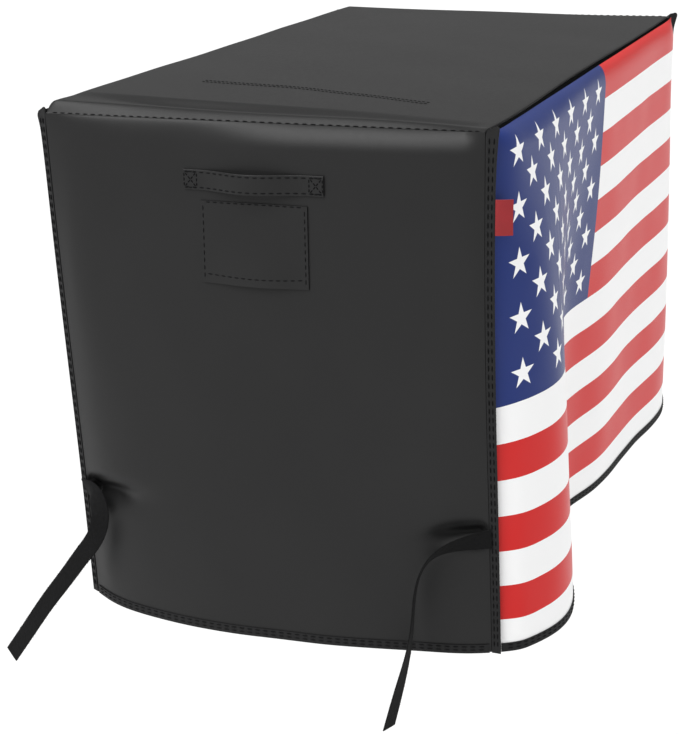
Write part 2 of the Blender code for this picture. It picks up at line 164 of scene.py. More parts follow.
def stations(*stretches):
    # Places along a piece, from stretches of (start, end, steps) that follow each other
    runs = [np.linspace(start, end, steps, endpoint=False) for start, end, steps in stretches]
    return np.concatenate(runs + [[stretches[-1][1]]])


def meshPiece(name, points, blocks, finishes, uv=None, sharp=50, looks=None):
    # An object from points and blocks of faces: each block is an array with a column for each corner.
    # Its faces are turned round if they enclose less than nothing, so that they point outwards.
    points = np.asarray(points, float).reshape(-1, 3)
    arms = points - points.mean(0)
    volume = sum(
        np.einsum("ij,ij->", arms[b[:, 0]], np.cross(arms[b[:, k]], arms[b[:, k + 1]]))
        for b in blocks
        for k in range(1, b.shape[1] - 1)
    )
    if volume < 0:
        blocks = [b[:, ::-1] for b in blocks]
    corners = np.concatenate([b.ravel() for b in blocks]).astype(np.int32)
    sizes = np.concatenate([np.full(len(b), b.shape[1]) for b in blocks])
    starts = (np.cumsum(sizes) - sizes).astype(np.int32)
    mesh = bpy.data.meshes.new(name)
    mesh.vertices.add(len(points))
    mesh.vertices.foreach_set("co", points.astype(np.float32).ravel())
    mesh.loops.add(len(corners))
    mesh.loops.foreach_set("vertex_index", corners)
    mesh.polygons.add(len(sizes))
    mesh.polygons.foreach_set("loop_start", starts)
    for finish in finishes:
        mesh.materials.append(finish)
    if looks is not None:
        worn = np.concatenate([np.full(len(b), look) for b, look in zip(blocks, looks)])
        mesh.polygons.foreach_set("material_index", worn.astype(np.int32))
    mesh.update(calc_edges=True)
    if uv is not None:
        layer = mesh.uv_layers.new(name="cloth")
        places = np.asarray(uv, float).reshape(-1, 2)[corners]
        layer.data.foreach_set("uv", places.astype(np.float32).ravel())
    mesh.shade_smooth()
    mesh.set_sharp_from_angle(angle=math.radians(sharp))
    return placed(name, mesh)


def gridFaces(rows, columns, wrap=False):
    # Quads of a grid of points, row after row, joined round to its first column if it wraps
    count = columns if wrap else columns - 1
    i, j = np.meshgrid(np.arange(rows - 1), np.arange(count), indexing="ij")
    i, j = i.ravel(), j.ravel()
    right = (j + 1) % columns
    here, below = i * columns, (i + 1) * columns
    return np.stack([here + j, here + right, below + right, below + j], -1)


def normalsOf(grid):
    # Cross product of the steps along a row and down a column, at unit length
    return unit(np.cross(np.gradient(grid, axis=1), np.gradient(grid, axis=0)))


def slab(name, grid, thickness, finishes, uv, looks=(0, 0, 0)):
    # A sheet: its outer face is the grid, its inner face lies behind it by the thickness, and four
    # rims close it. looks are the finishes of outer face, inner face and rims.
    rows, columns = grid.shape[:2]
    inner = grid - normalsOf(grid) * thickness
    count = rows * columns
    outerFaces = gridFaces(rows, columns)
    ids = np.arange(count).reshape(rows, columns)
    rims = []
    for line in (ids[0, ::-1], ids[-1], ids[:, 0], ids[::-1, -1]):
        rims.append(np.stack([line[:-1], line[1:], line[1:] + count, line[:-1] + count], -1))
    blocks = [outerFaces, outerFaces[:, ::-1] + count, np.concatenate(rims)]
    points = np.concatenate([grid.reshape(-1, 3), inner.reshape(-1, 3)])
    return meshPiece(name, points, blocks, finishes, np.concatenate([uv.reshape(-1, 2)] * 2), looks=looks)


def carried(name, centres, wides, deeps, profile, finish):
    # A closed profile carried along a path: centre + wide u + deep v for each profile point (u, v),
    # with a flat cap at both ends. The profile may differ from row to row.
    profile = np.broadcast_to(profile, (len(centres),) + np.shape(profile)[-2:])
    grid = centres[:, None] + wides[:, None] * profile[..., :1] + deeps[:, None] * profile[..., 1:]
    rows, columns = grid.shape[:2]
    ring = np.arange(columns)
    blocks = [gridFaces(rows, columns, wrap=True), np.stack([ring[::-1], ring + (rows - 1) * columns])]
    uv = np.stack(np.broadcast_arrays(profile[0, :, 0], lengthsAlong(centres)[:, None]), -1)
    return meshPiece(name, grid, blocks, [finish], uv)


def flatOval(wide, thick, count, square):
    # Rounded bar: a superellipse with these full sizes, squarer as its power grows
    angle = 2 * math.pi * (np.arange(count) + 0.5) / count
    c, s = np.cos(angle), np.sin(angle)
    u = np.sign(c) * np.abs(c) ** (2 / square)
    v = np.sign(s) * np.abs(s) ** (2 / square)
    return np.stack([u * wide / 2, v * thick / 2], -1)


# Materials

class Signal:
    # One value inside a material. Its operators add the maths nodes that work it out.
    def __init__(self, paint, socket):
        self.paint = paint
        self.socket = socket

    def __add__(self, other):
        return self.paint.maths("ADD", self, other)

    def __radd__(self, other):
        return self.paint.maths("ADD", other, self)

    def __sub__(self, other):
        return self.paint.maths("SUBTRACT", self, other)

    def __rsub__(self, other):
        return self.paint.maths("SUBTRACT", other, self)

    def __mul__(self, other):
        return self.paint.maths("MULTIPLY", self, other)

    def __rmul__(self, other):
        return self.paint.maths("MULTIPLY", other, self)

    def __truediv__(self, other):
        return self.paint.maths("DIVIDE", self, other)

    def __gt__(self, other):
        return self.paint.maths("GREATER_THAN", self, other)

    def __lt__(self, other):
        return self.paint.maths("LESS_THAN", self, other)

    def __abs__(self):
        return self.paint.maths("ABSOLUTE", self)


class Paint:
    # One material under construction. settings are constants of the shader's own sockets.
    def __init__(self, name, settings):
        self.material = bpy.data.materials.new(name)
        self.material.use_nodes = True
        self.tree = self.material.node_tree
        self.shader = self.tree.nodes["Principled BSDF"]
        for socket, value in settings.items():
            self.shader.inputs[socket].default_value = value

    def feed(self, socket, value):
        # A link from a signal, or else a constant
        if isinstance(value, Signal):
            self.tree.links.new(value.socket, socket)
        else:
            socket.default_value = value

    def node(self, kind, settings=None, inputs=None, outputs=0):
        # Any node: its settings first, then the values or links of its sockets
        made = self.tree.nodes.new("ShaderNode" + kind)
        for key, value in (settings or {}).items():
            setattr(made, key, value)
        for key, value in (inputs or {}).items():
            self.feed(made.inputs[key], value)
        if isinstance(outputs, tuple):
            return tuple(Signal(self, made.outputs[key]) for key in outputs)
        return Signal(self, made.outputs[outputs])

    def maths(self, operation, *values):
        # One maths node of these values
        return self.node("Math", {"operation": operation}, dict(enumerate(values)))

    def clamped(self, value):
        # The value, held between 0 and 1
        return self.node("Math", {"operation": "ADD", "use_clamp": True}, {0: value, 1: 0.0})

    def mixed(self, share, first, second):
        # Colour from first to second as the share goes from 0 to 1
        return self.node("Mix", {"data_type": "RGBA"}, {0: share, 6: first, 7: second}, 2)

    def noise(self, scale, detail=2.0):
        # Noise over the object's own coordinates
        place = self.node("TexCoord", outputs="Object")
        return self.node("TexNoise", None, {"Vector": place, "Scale": scale, "Detail": detail})

    def onCloth(self):
        # Distance along and down the cloth, in metres, from the piece's own map
        spot = self.node("UVMap", {"uv_map": "cloth"})
        return self.node("SeparateXYZ", None, {0: spot}, (0, 1))

    def ribs(self, distance, pitch):
        # A sine that turns once in each pitch
        return self.maths("SINE", distance * (2 * math.pi / pitch))

    def weave(self, u, v):
        # Plain weave: the product of a sine along the cloth and one down it
        return self.ribs(u, weavePitch) * self.ribs(v, weavePitch)

    def raised(self, height, distance, strength, under=None):
        # Bump from this height, on top of an earlier one if there is one
        inputs = {"Strength": strength, "Distance": distance, "Height": height}
        if under is not None:
            inputs["Normal"] = under
        return self.node("Bump", None, inputs)

    def finish(self, **sockets):
        # The values of the shader's varying sockets, and the material that is done with them
        names = {
            "colour": "Base Color", "roughness": "Roughness", "normal": "Normal", "coat": "Coat Weight",
        }
        for key, value in sockets.items():
            self.feed(self.shader.inputs[names[key]], value)
        return self.material


weavePitch = 0.0016
blackCloth = {
    "dark": (0.0085, 0.0085, 0.0086, 1),
    "light": (0.0125, 0.0125, 0.0126, 1),
    "roughness": 0.38,
    "specular": 0.25,
    "weaveHeight": 0.00006,
}


def makeBlackCloth():
    # Coated woven cloth: two near blacks mixed by broad noise, a fine weave and slow waves in the coat
    paint = Paint("blackCloth", {"Specular IOR Level": blackCloth["specular"]})
    u, v = paint.onCloth()
    broad = paint.noise(5.0, 3.0)
    fine = paint.noise(160.0, 2.0)
    weave = paint.raised(paint.weave(u, v), blackCloth["weaveHeight"], 0.6)
    coat = paint.raised(paint.noise(38.0, 2.0), 0.0006, 0.22, weave)
    return paint.finish(
        colour=paint.mixed(broad, blackCloth["dark"], blackCloth["light"]),
        roughness=blackCloth["roughness"] + 0.05 * broad + 0.06 * fine,
        normal=coat,
    )


liningCloth = {"colour": (0.020, 0.020, 0.021, 1), "light": (0.028, 0.028, 0.030, 1), "roughness": 0.72}


def makeLiningCloth():
    # The cloth's dull inner side, with the same weave standing up more
    paint = Paint("innerSide", {"Specular IOR Level": 0.25})
    u, v = paint.onCloth()
    weave = paint.weave(u, v)
    shade = paint.clamped(weave * 0.5 + 0.5)
    return paint.finish(
        colour=paint.mixed(shade, liningCloth["colour"], liningCloth["light"]),
        roughness=liningCloth["roughness"] + 0.1 * paint.noise(90.0),
        normal=paint.raised(weave, 0.00012, 0.8),
    )


flag = {
    "stripes": 14,
    "cantonStripes": 7,
    "cantonWide": 0.4745,
    "startAlong": 0.0070,
    "startDown": 0.0010,
    "columns": 12,
    "rows": 10,
    "starRadius": 0.0192,
    "red": (0.560, 0.0130, 0.0120, 1),
    "white": (0.860, 0.860, 0.860, 1),
    "blue": (0.0090, 0.0250, 0.1450, 1),
    "edge": 0.0005,
    "roughness": 0.31,
    "specular": 0.11,
    "worn": (0.45, 0.44, 0.44, 1),
}


def makePrintedCloth(tall):
    # u runs from the near seam and v down from the top seam. Stripes take turns by the stripe's
    # number. Stars stand where column and row numbers are both odd or both even: half their sum and
    # half their difference are then whole, so rounding those gives the nearest star. A star is what
    # lies inside the five lines r sin(angle from a point + 18 degrees) = R sin(18 degrees).
    settings = {"Specular IOR Level": flag["specular"], "Coat Roughness": 0.15, "Coat IOR": 1.4}
    paint = Paint("printedCloth", settings)
    along, down = paint.onCloth()
    u, v = along - flag["startAlong"], paint.maths("MAXIMUM", down - flag["startDown"], 0.0002)
    stripe = paint.maths("FLOOR", v * (flag["stripes"] / tall))
    white = paint.maths("FLOORED_MODULO", stripe, 2.0)
    canton = (u < flag["cantonWide"]) * (v < tall * flag["cantonStripes"] / flag["stripes"])
    columnWide = flag["cantonWide"] / flag["columns"]
    rowTall = tall * flag["cantonStripes"] / flag["stripes"] / flag["rows"]
    column, row = u / columnWide, v / rowTall
    half = paint.maths("ROUND", (column + row) * 0.5)
    other = paint.maths("ROUND", (column - row) * 0.5)
    starColumn, starRow = half + other, half - other
    right = (column - starColumn) * columnWide
    above = (starRow - row) * rowTall
    fifth = 2 * math.pi / 5
    angle = paint.maths("ARCTAN2", right, above) + fifth / 2
    turn = paint.maths("FLOORED_MODULO", angle, fifth) - fifth / 2
    far = paint.maths("SQRT", right * right + above * above)
    tip = math.radians(18)
    across = far * paint.maths("SINE", abs(turn) + tip)
    star = paint.clamped((flag["starRadius"] * math.sin(tip) - across) / flag["edge"] + 0.5)
    inside = (starColumn > 0.5) * (starColumn < flag["columns"] - 0.5)
    inside = inside * (starRow > 0.5) * (starRow < flag["rows"] - 0.5)
    stripes = paint.mixed(white, flag["red"], flag["white"])
    field = paint.mixed(star * inside, flag["blue"], flag["white"])
    printed = paint.mixed(canton, stripes, field)
    broad = paint.noise(7.0, 3.0)
    weave = paint.raised(paint.weave(u, v), 0.00005, 0.5)
    return paint.finish(
        colour=paint.mixed(broad * 0.05, printed, flag["worn"]),
        roughness=flag["roughness"] + 0.06 * broad,
        coat=0.04 * broad,
        normal=paint.raised(paint.noise(30.0), 0.0005, 0.18, weave),
    )


tapeRib = 0.0011
labelRib = 0.0007
# Dark and light colour, roughness and what the grain adds to it, and height and strength of the relief
plainCloths = {
    "bindingTape": ((0.0050, 0.0050, 0.0052, 1), (0.0110, 0.0110, 0.0115, 1), 0.55, 0.15, 0.00012, 0.6),
    "sewingThread": ((0.0030, 0.0030, 0.0032, 1), (0.0065, 0.0065, 0.0070, 1), 0.75, 0.1, 0.0001, 0.5),
    "hookAndLoop": ((0.0026, 0.0026, 0.0027, 1), (0.0080, 0.0080, 0.0083, 1), 0.85, 0.1, 0.0009, 0.9),
    "labelCloth": ((0.220, 0.006, 0.009, 1), (0.280, 0.009, 0.013, 1), 0.45, 0.1, 0.00008, 0.6),
}


def plainCloth(name, paint, share, grain, relief):
    # Colour mixed by the share, roughness raised by the grain, and a bump from the relief
    dark, light, roughness, rougher, height, strength = plainCloths[name]
    return paint.finish(
        colour=paint.mixed(share, dark, light),
        roughness=roughness + rougher * grain,
        normal=paint.raised(relief, height, strength),
    )


def makeTape():
    # Woven binding tape: fine ribs across it and a little lighter nap
    paint = Paint("bindingTape", {"Specular IOR Level": 0.22, "Sheen Weight": 0.01})
    u, v = paint.onCloth()
    ribs = paint.ribs(v, tapeRib)
    nap = paint.noise(420.0, 2.0)
    relief = ribs + 0.8 * nap + 0.2 * paint.maths("SINE", u * 4000.0)
    return plainCloth("bindingTape", paint, nap, nap, relief)


def makeThread():
    # Matt black sewing thread, twisted along its length
    paint = Paint("sewingThread", {"Specular IOR Level": 0.08})
    twist = paint.noise(1500.0, 1.0)
    return plainCloth("sewingThread", paint, twist, twist, twist)


def makeFuzzyTape():
    # Hook and loop tape: a short matted pile, as two layers of lumpy noise
    settings = {"Specular IOR Level": 0.10, "Sheen Weight": 0.015, "Sheen Roughness": 0.6}
    paint = Paint("hookAndLoop", settings)
    clumps = paint.noise(260.0, 3.0)
    loops = paint.noise(900.0, 2.0)
    return plainCloth("hookAndLoop", paint, clumps, loops, clumps + 0.7 * loops)


def makeLabelCloth():
    # Woven satin label: fine ribs along it, a little unevenly red
    paint = Paint("labelCloth", {"Specular IOR Level": 0.35, "Sheen Weight": 0.15})
    u, v = paint.onCloth()
    ribs = paint.ribs(u, labelRib) + 0.4 * paint.ribs(v, tapeRib)
    broad = paint.noise(70.0)
    return plainCloth("labelCloth", paint, broad, broad, ribs)


# The shape of the cover: its seams, and how far each panel stands out between them

sides = {"tall": 0.660, "cloth": 0.0015, "gap": 0.0003, "shoulder": 0.030}
seamDepths = (0.0, 0.14, 0.33, 0.50, 0.66)
waveDepths = (0.033, 0.13, 0.33, 0.66)

# x and y of each corner seam at seamDepths, and the turn of its bound strip in degrees: back over the
# long panel, or out over the end panel where it is negative
corners = {
    "front_near": {
        "x": (-0.4890, -0.4892, -0.4885, -0.4860, -0.4810),
        "y": (-0.2815, -0.2798, -0.2800, -0.2820, -0.2825),
        "turn": 0.0,
    },
    "back_near": {
        "x": (-0.4890, -0.4895, -0.4900, -0.4900, -0.4910),
        "y": (0.2920, 0.2900, 0.2850, 0.2805, 0.2775),
        "turn": 28.0,
    },
    "back_far": {
        "x": (0.4890, 0.4890, 0.4885, 0.4880, 0.4870),
        "y": (0.2850, 0.2840, 0.2835, 0.2840, 0.2850),
        "turn": 20.0,
    },
    "front_far": {
        "x": (0.4890, 0.4888, 0.4885, 0.4875, 0.4860),
        "y": (-0.2845, -0.2840, -0.2845, -0.2850, -0.2860),
        "turn": -62.0,
    },
}

# For each panel, its two corners from right to left as seen from outside, the distance between them,
# and rows of the distance from one of them and how far the panel stands out at each of waveDepths
panels = {
    "near_end_panel": {
        "corners": ("front_near", "back_near"),
        "reach": 0.566,
        "waves": (
            (0.012, 0.002, 0.003, 0.003, 0.005),
            (0.047, 0.005, 0.006, 0.009, 0.016),
            (0.103, 0.007, 0.009, 0.014, 0.026),
            (0.192, 0.008, 0.012, 0.022, 0.041),
            (0.287, 0.008, 0.014, 0.027, 0.049),
            (0.358, 0.008, 0.014, 0.029, 0.052),
            (0.429, 0.008, 0.014, 0.028, 0.047),
            (0.495, 0.007, 0.012, 0.023, 0.034),
            (0.540, 0.004, 0.008, 0.012, 0.016),
        ),
    },
    "back_panel": {
        "corners": ("back_near", "back_far"),
        "reach": 0.975,
        "waves": (
            (0.060, 0.010, 0.014, 0.016, 0.018),
            (0.300, 0.013, 0.020, 0.026, 0.026),
            (0.560, 0.013, 0.015, 0.012, 0.008),
            (0.780, 0.013, 0.017, 0.020, 0.022),
            (0.920, 0.010, 0.012, 0.014, 0.016),
        ),
    },
    "far_end_panel": {
        "corners": ("back_far", "front_far"),
        "reach": 0.570,
        "waves": (
            (0.050, 0.005, 0.008, 0.010, 0.012),
            (0.285, 0.008, 0.014, 0.022, 0.032),
            (0.520, 0.005, 0.008, 0.010, 0.012),
        ),
    },
    "front_panel": {
        "corners": ("front_far", "front_near"),
        "reach": 0.975,
        "waves": (
            (0.016, 0.014, 0.0125, 0.019, 0.0245),
            (0.032, 0.021, 0.0215, 0.031, 0.037),
            (0.068, 0.025, 0.034, 0.048, 0.055),
            (0.128, 0.026, 0.038, 0.054, 0.0625),
            (0.188, 0.024, 0.033, 0.039, 0.049),
            (0.268, 0.021, 0.021, 0.011, 0.014),
            (0.368, 0.018, 0.012, -0.008, -0.022),
            (0.438, 0.016, 0.012, -0.002, -0.031),
            (0.528, 0.017, 0.015, 0.009, -0.012),
            (0.638, 0.017, 0.016, 0.010, 0.000),
            (0.738, 0.016, 0.015, 0.013, 0.006),
            (0.858, 0.016, 0.016, 0.020, 0.018),
            (0.938, 0.012, 0.012, 0.013, 0.011),
        ),
    },
}

strip = {
    "thick": 0.0024,
    "wide": 0.0115,
    "flare": 0.0050,
    "fade": 0.030,
    "proud": 0.0008,
    "clear": 0.0006,
    "panelIn": 0.0045,
    "ear": 0.0045,
    "earFade": 0.030,
    "rows": (0.30, 0.68),
}
# Each ear leans: how much its outer side rises, how far that side swings away from the cover, and how
# far its inner side reaches over the corner
ears = {
    "front_near": (0.45, 0.0, 0.0),
    "back_near": (-0.60, 0.06, 0.10),
    "back_far": (0.0, 0.0, 0.0),
    "front_far": (0.10, 0.24, 0.0),
}


def cornerFrame(name, depth):
    # Seam point on the end panel at this depth, and the directions along and behind its strip
    corner = corners[name]
    depth = np.asarray(depth, float)
    held = np.maximum(depth, 0)
    x = throughPoints(seamDepths, corner["x"], held)
    y = throughPoints(seamDepths, corner["y"], held)
    away = np.array([0.0, math.copysign(1, corner["y"][0]), 0.0])
    behind = np.array([-math.copysign(1, corner["x"][0]), 0.0, 0.0])
    turn = math.radians(corner["turn"])
    along = away * math.cos(turn) + behind * math.sin(turn)
    back = behind * math.cos(turn) - away * math.sin(turn)
    return np.stack([x, y, -depth], -1), along, back


def stripStart(name):
    # The strip starts where its turned back clears the end panel
    turn = math.radians(max(corners[name]["turn"], 0))
    return strip["clear"] + (strip["thick"] - strip["proud"]) * math.tan(turn)


def stripWidth(depth):
    # The strip's own width, and a flare at the top that fades exponentially down the seam
    return strip["wide"] + strip["flare"] * np.exp(-np.maximum(depth, 0) / strip["fade"])


def panelEdge(corner, onEnd, depth):
    # At the seam on an end panel, and a little behind the strip on a long one
    base, along, back = cornerFrame(corner, depth)
    if onEnd:
        return base
    turnedOut = math.sin(math.radians(max(-corners[corner]["turn"], 0)))
    clear = strip["thick"] - strip["proud"] + sides["gap"] + sides["cloth"] * turnedOut
    return base + along * strip["panelIn"] + back * clear


def standOut(name, distance, depth):
    # The rows of waves, and rows of nothing at both seams, give a spline along the panel for each wave
    # depth. A second spline blends those down it, and a quarter round draws all in to the top seam.
    still = (0.0,) * len(waveDepths)
    columns = fromRows([(0, *still), *panels[name]["waves"], (panels[name]["reach"], *still)], distance)
    weights = throughPoints(waveDepths, np.eye(len(waveDepths)), depth)
    return (columns * weights).sum(-1) * roundOff(depth, sides["shoulder"])


creases = {
    # corner, inward, depth, fall, length, pull, height
    "folds": ((0.000, 1, 0.497, 0.08, 0.080, 0.015, 0.009), (0.566, -1, 0.510, -0.16, 0.105, 0.026, 0.012)),
    "start": 0.012,
}


def tiePull(distance, depth):
    # Each tie draws the cloth in along a falling line: a bell across it that fades away from the seam
    total = 0
    for corner, sign, level, fall, length, pull, height in creases["folds"]:
        inward = (distance - corner) * sign
        middle = level + fall * inward
        third = length / 3
        fade = np.clip(inward / creases["start"], 0, 1) * bell(np.maximum(inward - third, 0), third)
        total = total + pull * fade * bell(depth - middle, height)
    return total


# Small waves of the cloth on top of the main ones
ripples = {
    # height, length along, length down, start
    "waves": ((0.00050, 0.310, 0.420, 0.4), (0.00035, 0.173, 0.260, 1.9), (0.00020, 0.097, 0.190, 3.1)),
    "fade": 0.08,
    "margin": 0.05,
}


def unevenness(distance, depth):
    # Sum of slow sines along and down, faded out at the top seam
    total = 0
    for height, long, deep, start in ripples["waves"]:
        wave = height * np.sin(2 * math.pi * distance / long + start)
        total = total + wave * np.cos(2 * math.pi * depth / deep + 2 * start)
    return total * easeIn(depth, ripples["fade"])


pleating = {
    "height": 0.00045,
    "pitch": 0.0085,
    "middle": 0.165,
    "width": 0.030,
    "depth": 0.205,
    "tall": 0.075,
}


def pleats(distance, depth):
    # Fine upright ripples where the front bulges most: a sine inside a bell along and one down
    spot = bell(distance - pleating["middle"], pleating["width"])
    spot = spot * bell(depth - pleating["depth"], pleating["tall"])
    wander = 0.35 * np.sin(23 * depth + 90 * distance)
    return pleating["height"] * spot * np.sin(2 * math.pi * distance / pleating["pitch"] + 6 * wander)


nearSeam = {
    "inset": 0.0100,
    "sag": 0.25,
    "reach": 0.032,
    "corner": 0.030,
    "middle": -0.06,
    "fade": 0.16,
    "topReach": 0.05,
}


def seamInset(y):
    # How far in the near top seam lies: nothing at the front corner and along the back third
    start = easeIn(y - corners["front_near"]["y"][0], nearSeam["corner"])
    return nearSeam["inset"] * start * (1 - easeIn(y - nearSeam["middle"], nearSeam["fade"]))


def coverPoint(name, share, depth, out=0.0):
    # Outer face of a panel at this share of its way between its seams and this depth: the straight
    # line between the seams, plus how far the panel stands out
    onEnd = name in ("near_end_panel", "far_end_panel")
    start, finish = (panelEdge(corner, onEnd, depth) for corner in panels[name]["corners"])
    chord = finish - start
    outward = unit(np.stack([-chord[..., 1], chord[..., 0], 0 * chord[..., 0]], -1))
    share = np.asarray(share, float)
    distance = panels[name]["reach"] * (1 - share if name == "front_panel" else share)
    inner = easeIn(np.minimum(share, 1 - share), ripples["margin"])
    bulge = standOut(name, distance, depth) + unevenness(distance, depth) * inner
    point = start + chord * share[..., None]
    if name == "near_end_panel":
        inset = seamInset(point[..., 1]) * np.maximum(1 - depth / nearSeam["reach"], 0) ** 2
        bulge = bulge - tiePull(distance, depth) - inset
        point = point - np.array([0, 0, nearSeam["sag"]]) * inset[..., None]
    if name == "front_panel":
        bulge = bulge + pleats(distance, depth)
    return point + outward * (bulge + out)[..., None]


def coverNormal(name, share, depth):
    # Cross product of small steps along and down the panel
    small = 0.0015
    across = coverPoint(name, share + small, depth) - coverPoint(name, share - small, depth)
    down = coverPoint(name, share, depth + small) - coverPoint(name, share, depth - small)
    return unit(np.cross(across, down))


def measured(grid, fromEnd=False):
    # Distance along each row of a grid, from its first column or from its last, and down each column
    steps = np.linalg.norm(np.diff(grid, axis=1), axis=2)
    along = np.concatenate([np.zeros((len(grid), 1)), np.cumsum(steps, axis=1)], axis=1)
    if fromEnd:
        along = along[:, -1:] - along
    falls = np.linalg.norm(np.diff(grid, axis=0), axis=2)
    down = np.concatenate([np.zeros((1, grid.shape[1])), np.cumsum(falls, axis=0)])
    return np.stack([along, down], -1)


# Finishes and what each piece is made of
finishes = {
    "black": makeBlackCloth(),
    "inner": makeLiningCloth(),
    "printed": makePrintedCloth(sides["tall"]),
    "tape": makeTape(),
    "thread": makeThread(),
    "fuzzy": makeFuzzyTape(),
    "label": makeLabelCloth(),
}
print("materials made")


def keep(piece, node):
    # The piece rides with the cover's one body and stands for this node
    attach(piece, "root")
    if node:
        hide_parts(node)


# Stitches, gathered by the piece that they are sewn into, and the pitch, length and radius of each kind
stitch = {"rings": 5, "sides": 6}
stitchKinds = {
    "plain": (0.0108, 0.0074, 0.00070),
    "thin": (0.0108, 0.0074, 0.00040),
    "double": (0.0062, 0.0054, 0.00055),
    "strap": (0.0098, 0.0066, 0.00070),
    "box": (0.0056, 0.0046, 0.00070),
    "flap": (0.0092, 0.0064, 0.00062),
}
sewn = {}


def sew(group, path, facing, kind="plain"):
    # A row of stitches along a path: each is a bar of rings, thin at its ends and a little raised in
    # its middle, half sunk in the cloth
    path, facing = np.asarray(path, float), np.asarray(facing, float)
    lengths = lengthsAlong(path)
    pitch, long, radius = stitchKinds[kind]
    count = max(int(lengths[-1] / pitch + 0.35), 1)
    spare = (lengths[-1] - count * pitch) / 2 + (pitch - long) / 2
    t = np.linspace(0, 1, stitch["rings"])
    at = spare + pitch * np.arange(count)[:, None] + long * t
    centre = readOff(at, lengths, path)
    normal = unit(readOff(at, lengths, facing))
    tangent = unit(np.gradient(centre, axis=1))
    side = np.cross(normal, tangent)
    size = radius * (1 - 0.75 * np.abs(2 * t - 1) ** 4)
    rise = radius * (0.45 * np.sin(math.pi * t) - 0.15)
    angle = 2 * math.pi * np.arange(stitch["sides"]) / stitch["sides"]
    round1 = size[:, None] * np.cos(angle)
    round2 = size[:, None] * np.sin(angle) + rise[:, None]
    points = centre[:, :, None] + side[:, :, None] * round1[..., None]
    points = points + normal[:, :, None] * round2[..., None]
    sewn.setdefault(group, []).append(points)


def makeStitches(group):
    # All rows of one group as a single mesh: the same small ring grid and caps, shifted for each one
    points = np.concatenate(sewn[group])
    count, rings, sidesRound = points.shape[:3]
    one = gridFaces(rings, sidesRound, wrap=True)
    ring = np.arange(sidesRound)
    caps = np.stack([ring[::-1], ring + (rings - 1) * sidesRound])
    shift = (np.arange(count) * rings * sidesRound)[:, None, None]
    blocks = [(one + shift).reshape(-1, 4), (caps + shift).reshape(-1, sidesRound)]
    piece = meshPiece(group + "_stitches", points, blocks, [finishes["thread"]], sharp=80)
    keep(piece, None)


# Side panels

panelSteps = {
    "near_end_panel": {
        "across": stations((0, 0.03, 8), (0.03, 0.2, 34), (0.2, 0.8, 62), (0.8, 0.97, 34), (0.97, 1, 8)),
        "down": stations((0.0004, 0.04, 26), (0.04, 0.44, 50), (0.44, 0.56, 44), (0.56, 0.66, 16)),
    },
    "front_panel": {
        "across": stations((0, 0.03, 8), (0.03, 0.5, 50), (0.5, 0.97, 90), (0.97, 1, 8)),
        "down": stations((0.001, 0.04, 22), (0.04, 0.66, 74)),
    },
    "back_panel": {
        "across": stations((0, 0.03, 6), (0.03, 0.97, 84), (0.97, 1, 6)),
        "down": stations((0.001, 0.04, 16), (0.04, 0.66, 50)),
    },
    "far_end_panel": {
        "across": stations((0, 0.03, 6), (0.03, 0.97, 60), (0.97, 1, 6)),
        "down": stations((0.001, 0.04, 16), (0.04, 0.66, 50)),
    },
}


# A turned-in edge, from its tip to the seam: how far along the strip and how far behind its face
turnedIn = ((0.0042, 0.0024), (0.0020, 0.0024), (0.0008, 0.0021), (0.0002, 0.0010))


# The print lies a little lower than the cloth's own length where the front bulges: the most of it, the
# depth at which it starts and over which it grows, and the distances along over which it comes and goes
slack = {"most": 0.0085, "from": 0.12, "over": 0.50, "rise": 0.06, "fall": 0.20, "fade": 0.12}


def printSlack(along, depth):
    # Smooth steps in and out along the panel, times one down it
    lies = easeIn(along, slack["rise"]) * (1 - easeIn(along - slack["fall"], slack["fade"]))
    return slack["most"] * lies * easeIn(depth - slack["from"], slack["over"])


def turnedEdge(corner, depth):
    # The end panel's own edge, folded in behind the strip so that no light comes through the seam
    base, along, back = cornerFrame(corner, depth[:, 0])
    return np.stack([base + along * reach + back * behind for reach, behind in turnedIn], 1)


def makePanels():
    # A sheet for each side over its steps across and down, with the end panels' edges turned in
    for name, steps in panelSteps.items():
        depth = steps["down"][:, None]
        grid = coverPoint(name, steps["across"][None, :], depth)
        if name in ("near_end_panel", "far_end_panel"):
            first, last = (turnedEdge(corner, depth) for corner in panels[name]["corners"])
            grid = np.concatenate([first, grid, last[:, ::-1]], axis=1)
        uv = measured(grid, name == "front_panel")
        if name == "front_panel":
            uv[..., 1] -= printSlack(uv[..., 0], depth)
        outer = "printed" if name == "front_panel" else "black"
        worn = [finishes[outer], finishes["inner"]]
        piece = slab(name.replace("_panel", "_cloth"), grid, sides["cloth"], worn, uv, (0, 1, 1))
        keep(piece, name)


makePanels()
print("side panels made")


# Hem bindings

hem = {"outside": 0.0115, "inside": 0.0080, "thick": 0.0010, "bare": 0.004, "rows": (0.0042, 0.0088)}


